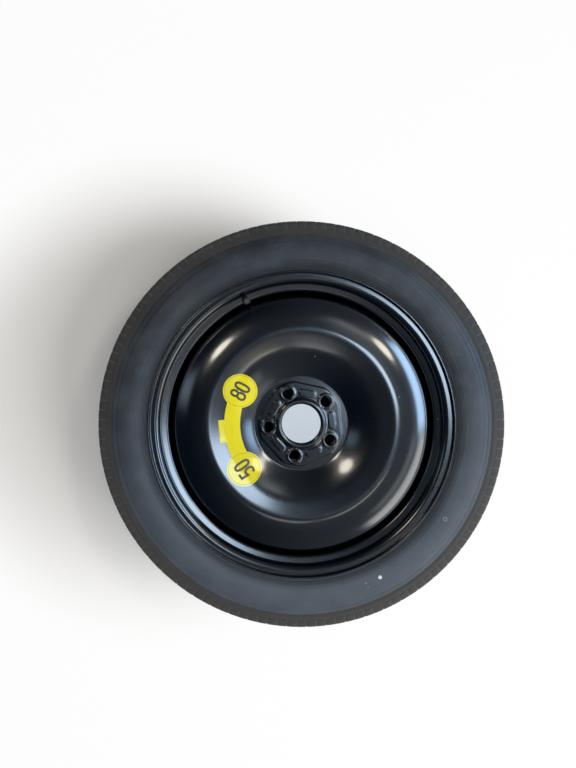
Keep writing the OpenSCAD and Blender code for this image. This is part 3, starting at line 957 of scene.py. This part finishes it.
class SPARE_OT_disc(Operator):
    """Builds the pressed disc, with its hub pad, rings, humps and coned bolt holes"""
    bl_idname = "spare_wheel.disc"
    bl_label = "Disc"

    def execute(self, context):
        relief = context.scene.spare_disc.hub_relief / MM
        front = rounded(DISC_PATH)
        back = beside(front, -DISC_T)
        count = 360

        def step(fine):
            return lambda p: fine if 40 < p[0] < 74 and p[1] > 20 else 6.5

        front, back = divided(front, step(0.8)), divided(back, step(1.3))
        loop = sheet_loop(front, back, 0.9)
        points, quads = revolve(loop, count)
        on_front = np.tile(np.arange(len(loop)) < len(front) - 2, count)
        x, y = points[:, 0], points[:, 1]
        r = np.hypot(x, y)
        near = (r > 40.0) & (r < 76.0)
        rise = np.where(on_front, hub_relief(x, y, 0.0, relief, True), hub_relief(x, y, 1.0, relief, False))
        points[:, 2] += np.where(near, rise, 0.0)
        disc = new_piece("wheel_disc_press", points, quads)
        profile = [(0, 20), (BOLT_HOLE_R, 20), (BOLT_HOLE_R, 33), (8.35, 34.9), (8.85, 35.6), (9.5, 36.05),
                   (10.6, 36.3), (10.6, 42), (0, 42)]
        holes = []
        for i in range(BOLT_COUNT):
            x, y = polar(BOLT_CIRCLE_R, BOLT_ANGLE + i * 360 / BOLT_COUNT)
            hole = new_piece(f"hole_{i}", *lathe(profile, 56))
            holes.append(placed(hole, Matrix.Translation((x, y, 0))))
        disc = cut(disc, joined("holes", holes))
        dressed(disc, "wheel", "wheel_paint", FINISHES["paint"], "wheel_disc")
        return {"FINISHED"}


class SPARE_OT_welds(Operator):
    """Builds the weld beads that join the disc's skirt to the rim"""
    bl_idname = "spare_wheel.welds"
    bl_label = "Welds"

    def execute(self, context):
        bead = context.scene.spare_disc.weld_bead
        start = bpy.data.objects.new("disc_weld_beads", bpy.data.meshes.new("start"))
        context.scene.collection.objects.link(start)
        welds = run_tree(start, weld_tree(), {
            "Count": 8, "First Turn": math.radians(9), "Radius": 0.2096, "Height": -0.0050,
            "Sweep": math.radians(17), "Bead": bead, "Ripples": 22.0, "Material": FINISHES["weld"]})
        dressed(welds, "wheel", "wheel_paint", FINISHES["weld"], "disc_welds")
        return {"FINISHED"}


def inside_label(x, y, shrink=0.0):
    """Is this place on the label, seen from the street side?"""
    r, angle = np.hypot(x, y), np.degrees(np.arctan2(y, x)) % 360
    on = np.zeros(np.shape(x), bool)
    for place in (LABEL_HIGH, LABEL_LOW):
        cx, cy = polar(*place)
        on |= np.hypot(x - cx, y - cy) < LABEL_END_R - shrink
    band = (np.abs(r - LABEL_MID_R) < LABEL_BAND_W / 2 - shrink) & (angle > LABEL_HIGH[1]) & (angle < LABEL_LOW[1])
    c, s = polar(1, LABEL_TAB_ANGLE)
    along, out = np.abs(y * c - x * s), x * c + y * s
    tab = (along < LABEL_TAB_W / 2 - shrink) & (out > LABEL_MID_R) & (out < LABEL_TAB_R - shrink)
    return on | band | tab


def label_outlines():
    outlines = []
    for place in (LABEL_HIGH, LABEL_LOW):
        centre = polar(*place)
        outlines.append([centre + polar(LABEL_END_R, a) for a in np.arange(0, 360, 3)])
    high, low = LABEL_HIGH[1], LABEL_LOW[1]
    turn = np.linspace(high, low, 60)
    outlines.append([polar(LABEL_MID_R + LABEL_BAND_W / 2, a) for a in turn]
                    + [polar(LABEL_MID_R - LABEL_BAND_W / 2, a) for a in turn[::-1]])
    tab = []
    for out, along in ((LABEL_MID_R, -1), (LABEL_TAB_R, -1), (LABEL_TAB_R, 1), (LABEL_MID_R, 1)):
        tab.append(turned(np.array([out, along * LABEL_TAB_W / 2]), math.radians(LABEL_TAB_ANGLE)))
    outlines.append(tab)
    return outlines


def draped(name, outlines, keep, above, thick, spacing):
    """A thin film over the disc's front: flat outlines cut into small faces, laid on the pressed shape."""
    front = rounded(DISC_PATH)
    front = front[(front[:, 0] > 44) & (front[:, 1] > 20)]
    front = front[:int(np.argmax(front[:, 0]))]
    points, loops = [], []
    for outline in outlines:
        start = len(points)
        points += [tuple(p) for p in outline]
        loops.append(list(range(start, len(points))))
    corners = np.array(points)
    grid_x, grid_y = np.meshgrid(np.arange(corners[:, 0].min(), corners[:, 0].max(), spacing),
                                 np.arange(corners[:, 1].min(), corners[:, 1].max(), spacing))
    grid = np.stack([grid_x.ravel(), grid_y.ravel()], axis=1)
    grid = grid[keep(grid[:, 0], grid[:, 1])]
    points += [tuple(p) for p in grid]
    edges = [(loop[i], loop[(i + 1) % len(loop)]) for loop in loops for i in range(len(loop))]
    flat, _, faces, _, _, _ = delaunay_2d_cdt([Vector(p) for p in points], edges, [], 0, 0.001)
    flat = np.array([tuple(p) for p in flat])
    faces = [f for f in faces if keep(*np.mean(flat[list(f)], axis=0))]
    z = np.interp(np.hypot(flat[:, 0], flat[:, 1]), front[:, 0], front[:, 1])
    count = len(flat)
    top = np.column_stack([flat, z + above + thick])
    low = np.column_stack([flat, z + above])
    directed = {(f[i], f[(i + 1) % len(f)]) for f in faces for i in range(len(f))}
    walls = [[a, b, b + count, a + count] for a, b in directed if (b, a) not in directed]
    every = [list(f) for f in faces] + [[v + count for v in reversed(f)] for f in faces] + walls
    piece = new_piece(name, np.vstack([top, low]), every)
    work = bmesh.new()
    work.from_mesh(piece.data)
    bmesh.ops.delete(work, geom=[v for v in work.verts if not v.link_faces], context="VERTS")
    work.to_mesh(piece.data)
    work.free()
    return piece


def digit_strokes(digit):
    """Centre lines of a condensed digit, one unit high and about half as wide, as lists of points."""
    def oval(cx, cy, rx, ry, first=0.0, last=360.0, square=2.4):
        out = []
        for a in np.arange(first, last + 0.1, 6.0):
            c, s = math.cos(math.radians(a)), math.sin(math.radians(a))
            out.append((cx + rx * math.copysign(abs(c) ** (2 / square), c),
                        cy + ry * math.copysign(abs(s) ** (2 / square), s)))
        return out
    if digit == "0":
        return [(oval(0, 0.5, 0.185, 0.455, 0, 354, 2.7), True)]
    if digit == "8":
        return [(oval(0, 0.735, 0.165, 0.215, 0, 354), True), (oval(0, 0.285, 0.195, 0.24, 0, 354), True)]
    if digit == "5":
        bowl = oval(-0.005, 0.30, 0.195, 0.258, -150, 128)
        return [([(0.175, 0.95), (-0.145, 0.95), (-0.175, 0.505)] + bowl[::-1], False)]
    raise ValueError(digit)


def stroked(line, closed, half):
    """The outline or outlines of a line drawn with a pen of the given half width."""
    line = np.array(line, float)
    if closed:
        ahead, behind = np.roll(line, -1, axis=0), np.roll(line, 1, axis=0)
        along = ahead - behind
        along /= np.linalg.norm(along, axis=1)[:, None]
        left = np.stack([-along[:, 1], along[:, 0]], axis=1)
        return [line + left * half, line - left * half]
    return [np.vstack([beside(line, half), beside(line, -half)[::-1]])]


def within(outline, x, y):
    """Even-odd test of points against one outline."""
    x, y = np.atleast_1d(x), np.atleast_1d(y)
    inside = np.zeros(x.shape, bool)
    other = np.roll(outline, 1, axis=0)
    for (x1, y1), (x2, y2) in zip(outline, other):
        crosses = (y1 > y) != (y2 > y)
        if crosses.any():
            at = (x2 - x1) * (y - y1) / ((y2 - y1) or 1e-12) + x1
            inside ^= crosses & (x < at)
    return inside


class SPARE_OT_label(Operator):
    """Lays the yellow speed label on the disc and prints its two numbers"""
    bl_idname = "spare_wheel.label"
    bl_label = "Speed Label"

    def execute(self, context):
        settings = context.scene.spare_label
        film = draped("speed_label_film", label_outlines(), inside_label, 0.02, 0.28, 2.2)
        dressed(film, "wheel", "label_vinyl", film_finish(settings), "speed_label")
        ink = plain_finish("label_ink", settings.ink, (0.055, 0.045, 0.02), 0.38, 900.0, 0.00002)
        height = settings.digit_height / MM
        prints = []
        for number, place, baseline in (("80", LABEL_HIGH, 60.5), ("50", LABEL_LOW, 124.0)):
            centre = polar(*place)
            for k, digit in enumerate(number):
                for line, closed in digit_strokes(digit):
                    shape = []
                    for outline in stroked(np.array(line) * height, closed, 1.95):
                        shifted = outline + ((k - 0.5) * height * 0.545, -height / 2)
                        shape.append(np.array([turned(p, math.radians(baseline)) for p in shifted]) + centre)
                    prints.append(shape)
        made = []
        for n, shape in enumerate(prints):
            def keep(x, y, shape=shape):
                odd = within(shape[0], x, y)
                for other in shape[1:]:
                    odd = odd ^ within(other, x, y)
                return odd if np.ndim(x) else bool(odd[0])
            made.append(draped(f"print_{n}", shape, keep, 0.305, 0.04, 1.6))
        numbers = joined("speed_label_numbers", made)
        dressed(numbers, "wheel", "label_vinyl", ink)
        return {"FINISHED"}


def valve_frame():
    """Places a shape drawn on the valve's own axis, in millimetres."""
    return (Matrix.Rotation(math.radians(VALVE_ANGLE), 4, "Z") @ Matrix.Translation((VALVE_R, 0, VALVE_Z))
            @ Matrix.Rotation(math.radians(-VALVE_LEAN), 4, "Y"))


class SPARE_OT_valve(Operator):
    """Builds the valve's rubber body, threaded tube and ribbed cap, and finishes its core"""
    bl_idname = "spare_wheel.valve"
    bl_label = "Valve"

    def execute(self, context):
        settings = context.scene.spare_valve
        rubber = plain_finish("valve_rubber", settings.rubber, (0.045, 0.045, 0.047), 0.5, 1500.0, 0.0001)
        brass = plain_finish("valve_brass", settings.brass, (0.62, 0.47, 0.24), 0.3, 2200.0, 0.00004, 1.0)
        plastic = plain_finish("cap_plastic", settings.cap, (0.03, 0.03, 0.032), 0.42, 2600.0, 0.00005)
        steel = plain_finish("spring_steel", (0.60, 0.61, 0.62), (0.42, 0.42, 0.43), 0.28, 2600.0, 0.00003, 1.0)
        outer = rounded([(3.0, -9.2, 0), (4.6, -9.2, 0.5), (5.5, -8.2, 0.5), (7, -5.4, 1.2), (7.1, -3.2, 0.8),
                         (6.9, -2.3, 0), (5.75, -2.3, 0), (5.75, 0, 0), (6.9, 0, 0), (6.9, 1.0, 0.5), (6.3, 2.4, 0.8),
                         (5.7, 4.2, 2), (5.2, 8, 8), (4.7, 12.5, 1), (4.5, 13.4, 0), (3.0, 13.4, 0)], 0.02)
        body = new_piece("valve_stem_rubber", *revolve(outer, 72))
        dressed(placed(body, valve_frame()), "wheel", "valve_rubber", rubber, "valve_body")
        root = 3.5
        tube = [(3.0, -9.0), (3.0, 13.4), (4.3, 13.4), (4.3, 14.2), (root, 14.6), (root, 21.6), (root - 0.4, 22),
                (2.65, 22), (2.65, 5.2), (1.9, 5.2), (1.9, -9.0)]
        tube = new_piece("valve_threaded_tube", *revolve(np.array(tube), 56))
        tube = run_tree(tube, thread_tree(), {
            "Radius": (root + 0.05) * MM, "Pitch": settings.thread_pitch, "Turns": 8.0, "Ridge": 0.00029,
            "Start": 14.9 * MM, "Material": brass})
        dressed(placed(tube, valve_frame()), "wheel", "valve_brass", brass, "valve_tube")
        cap = self.cap(settings, plastic)
        dressed(cap, "cap", "cap_plastic", plastic, "valve_cap")
        self.spring(steel)
        for node, finish in (("core_barrel", brass), ("core_pin", brass), ("core_seal", rubber),
                             ("cap_seal", rubber)):
            NODES[node].data.materials.clear()
            NODES[node].data.materials.append(finish)
        return {"FINISHED"}

    def spring(self, steel):
        """The core's spring, copied from its node as a piece of its own in spring steel."""
        node, stem = NODES["core_spring"], valve_frame()
        mesh = node.data.copy()
        mesh.transform(node.matrix_world)
        spring = finished("valve_core_spring", mesh)
        dressed(spring, "wheel", "spring_steel", steel, "core_spring")
        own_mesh(spring)

    def cap(self, settings, plastic):
        line = rounded([(3.93, 15, 0), (4.35, 15, 0.25), (4.75, 15.5, 0.3), (4.75, 24.0, 0.5), (4.3, 24.3, 0.3),
                        (4.1, 25.5, 0.6), (0.3, 25.45, 0), (0, 25.45, 0)], 0.01)
        hollow = [(0, 23.0), (3.5, 23.0), (3.93, 22.6)]
        shell = new_piece("cap_shell", *lathe(hollow + [tuple(p) for p in line], 96))
        rib = []
        for z, inset in ((15.7, 0.15), (16.1, 0.0), (23.4, 0.0), (23.8, 0.15)):
            for along, out in ((-0.34, 4.6), (-0.2, 5.12 - inset), (0.2, 5.12 - inset), (0.34, 4.6)):
                rib.append((out, along, z))
        faces = [[k * 4 + i, k * 4 + (i + 1) % 4, k * 4 + 4 + (i + 1) % 4, k * 4 + 4 + i]
                 for k in range(3) for i in range(4)]
        faces += [[3, 2, 1, 0], [12, 13, 14, 15]]
        rib = new_piece("cap_rib", rib, faces)
        ribs = run_tree(rib, REPEATER, {"Count": settings.cap_ribs, "First Turn": 0.0, "Material": plastic})
        return placed(joined("valve_cap_ribbed", [shell, ribs]), valve_frame())


class SPARE_OT_stage(Operator):
    """Sets the plain floor, the soft light and the camera over the wheel"""
    bl_idname = "spare_wheel.stage"
    bl_label = "Stage"

    def execute(self, context):
        settings = context.scene.spare_stage
        scene = context.scene
        level = CAD_BOX[0].z / MM
        floor = new_piece("floor", *lathe([(r, level) for r in (0, 400, 1500, 6000, 20000)], 64))
        if floor.data.polygons[0].normal.z < 0:
            floor.data.flip_normals()
        material, w, shader = opened("floor_paper")
        here = w.add("ShaderNodeTexCoord").outputs["Object"]

        def away_from(x, y):
            return w.vector("DISTANCE", here, (x, y, level * MM))

        beside_wheel = w.ramp(away_from(0, 0), 0.25, 0.31)
        bore = w.ramp(away_from(0.0023, -0.0068), 0.045, 0.038)
        tooth = shared(w, "fine_grain", scale=700.0, detail=3.0, roughness=0.5)
        tint = w.mix(w.ramp(tooth, 0.3, 0.7), solid(settings.floor), solid([c * 0.985 for c in settings.floor]))
        # Painted shade: under the wheel, outside its bore, the floor is near black, so the bolt holes show dark
        tint = w.mix(w.math("MAXIMUM", beside_wheel, bore), (0.01, 0.01, 0.01, 1), tint)
        fed(w, shader, base_color=tint, roughness=0.9, specular_ior_level=0.15)
        rays = w.add("ShaderNodeLightPath").outputs
        seen = w.math("MAXIMUM", rays["Is Camera Ray"], rays["Is Glossy Ray"])
        seen = w.math("MAXIMUM", seen, rays["Is Transmission Ray"])
        glow = w.ramp(away_from(-0.255, 0.04), 0.26, 0.465, settings.shade_glow, settings.floor_glow)
        glow = w.math("MAXIMUM", w.times(glow, beside_wheel), w.times(bore, settings.bore_glow))
        glow = w.times(seen, glow)
        white = w.mix(bore, (1, 1, 1, 1), (0.80, 0.90, 1.0, 1))
        white = w.add("ShaderNodeEmission", {"Color": white, "Strength": 1.0})
        both = w.add("ShaderNodeMixShader", {0: glow, 1: shader.outputs[0], 2: white.outputs[0]})
        w.link(both.outputs[0], w.tree.nodes["Material Output"].inputs[0])
        floor.data.materials.append(material)

        world = bpy.data.worlds.new("soft_room")
        scene.world = world
        world.use_nodes = True
        world.node_tree.nodes.clear()
        w = Wiring(world.node_tree)
        way = w.add("ShaderNodeTexCoord").outputs["Generated"]
        side = w.vector("DOT_PRODUCT", way, (0.90, -0.15, 0.20))
        tint = w.mix(w.ramp(side, -0.45, 0.95), solid(settings.dim_side), solid(settings.bright_side))
        cool, sky, neutral, warm = (0.46, 0.69, 1.0), (0.62, 0.80, 1.0), (0.97, 1.0, 1.0), (1.0, 0.92, 0.79)
        dim = settings.dim_panels
        # Each panel of the room: its power and colour, then angles in degrees as soft_panel takes them
        for shine, shade, *angles in (
                (settings.window, cool, 15, 36, 18, 7, 6), (settings.rooflight, sky, 16, 77, 6, 6, 3),
                (settings.side_panel, neutral, -33, 30, 21, 8, 6), (3.4 * dim, warm, -55, 70.5, 6, 2.5, 3),
                (1.0 * dim, neutral, -32, 48, 14, 4, 4), (1.7 * dim, sky, 167, 38, 6, 9, 9),
                (1.4 * dim, neutral, 57, 61, 6, 5, 9), (2.0 * dim, neutral, 265, 70, 4, 4, 3),
                (1.3 * dim, sky, -12, 83, 3.5, 3.5, 3)):
            angles = dict(zip(("turn", "rise", "half_width", "half_height", "softness"), map(math.radians, angles)))
            mask = w.times(shared(w, "soft_panel", **angles), shine)
            tint = w.vector("ADD", tint, w.vector("SCALE", shade, scale=mask))
        seen = w.add("ShaderNodeLightPath").outputs["Is Camera Ray"]
        tint = w.mix(seen, tint, solid(settings.floor))
        background = w.add("ShaderNodeBackground", {"Color": tint, "Strength": 1.0})
        w.link(background.outputs[0], w.add("ShaderNodeOutputWorld").inputs[0])
        world.cycles_visibility.diffuse = False

        for name, turn, rise in (("lamp_right", 37, 51.2), ("lamp_left", 140, 54.8)):
            self.light(name, settings.lamps, warm, turn, rise, 2.5, (0.42, 0.42), "DISK")
        for name, watts, tint, turn, rise, away, size in (
                ("fill", settings.fill, (1.0, 0.99, 0.97), -28, 37, 2.2, (1.7, 1.0)),
                ("overhead", settings.overhead, (0.98, 0.99, 1.0), 262, 72, 2.2, (2.0, 2.0))):
            self.light(name, watts, tint, turn, rise, away, size).visible_glossy = False

        camera = bpy.data.cameras.new("photo_camera")
        camera.lens, camera.sensor_width, camera.sensor_fit = settings.lens, 36.0, "AUTO"
        camera.clip_start, camera.clip_end = 0.01, 100.0
        eye = bpy.data.objects.new("photo_camera", camera)
        eye.location = (*CAMERA_XY, settings.camera_height)
        scene.collection.objects.link(eye)
        scene.camera = eye
        scene.view_settings.view_transform = "Standard"
        return {"FINISHED"}

    def light(self, name, watts, tint, turn, rise, away, size, shape="RECTANGLE"):
        lamp = bpy.data.lights.new(name, "AREA")
        lamp.energy, lamp.color, lamp.shape = watts, tint, shape
        lamp.size, lamp.size_y = size
        a, e = math.radians(turn), math.radians(rise)
        back = Vector((math.cos(a) * math.cos(e), math.sin(a) * math.cos(e), math.sin(e)))
        across = Vector((-math.sin(a), math.cos(a), 0))
        holder = bpy.data.objects.new(name, lamp)
        holder.rotation_euler = Matrix((across, back.cross(across), back)).transposed().to_euler()
        holder.location = back * away
        holder.visible_camera = False
        bpy.context.scene.collection.objects.link(holder)
        return holder


class SPARE_PT_panel(Panel):
    """Lists the spare wheel's pieces and settings"""
    bl_idname = "SPARE_PT_panel"
    bl_label = "Spare Wheel"
    bl_space_type = "VIEW_3D"
    bl_region_type = "UI"
    bl_category = "Spare Wheel"

    def draw(self, context):
        for operator, group in STEPS:
            box = self.layout.box()
            box.operator(operator.bl_idname)
            settings = getattr(context.scene, group)
            for key in settings.__annotations__:
                box.prop(settings, key)


STEPS = [(SPARE_OT_stage, "spare_stage"), (SPARE_OT_tyre, "spare_tyre"), (SPARE_OT_rim, "spare_disc"),
         (SPARE_OT_disc, "spare_disc"), (SPARE_OT_welds, "spare_disc"), (SPARE_OT_label, "spare_label"),
         (SPARE_OT_valve, "spare_valve")]
SETTINGS = {"spare_stage": StageSettings, "spare_tyre": TyreSettings, "spare_disc": WheelSettings,
            "spare_label": LabelSettings, "spare_valve": ValveSettings}
FINISHES = {}
REPEATER = None


def register():
    for group in SETTINGS.values():
        bpy.utils.register_class(group)
    for key, group in SETTINGS.items():
        setattr(bpy.types.Scene, key, PointerProperty(type=group))
    for operator, _ in STEPS:
        bpy.utils.register_class(operator)
    bpy.utils.register_class(SPARE_PT_panel)


def unregister():
    bpy.utils.unregister_class(SPARE_PT_panel)
    for operator, _ in reversed(STEPS):
        bpy.utils.unregister_class(operator)
    for key, group in reversed(SETTINGS.items()):
        delattr(bpy.types.Scene, key)
        bpy.utils.unregister_class(group)


def main():
    global REPEATER
    register()
    GROUPS.update(shading_groups())
    REPEATER = repeat_tree()
    disc = bpy.context.scene.spare_disc
    FINISHES["paint"] = paint_finish(disc)
    FINISHES["weld"] = paint_finish(disc, "weld_paint", 0.42, 0.9)
    for operator, _ in STEPS:
        area, name = operator.bl_idname.split(".")
        getattr(getattr(bpy.ops, area), name)()


if __name__ == "__main__":
    main()
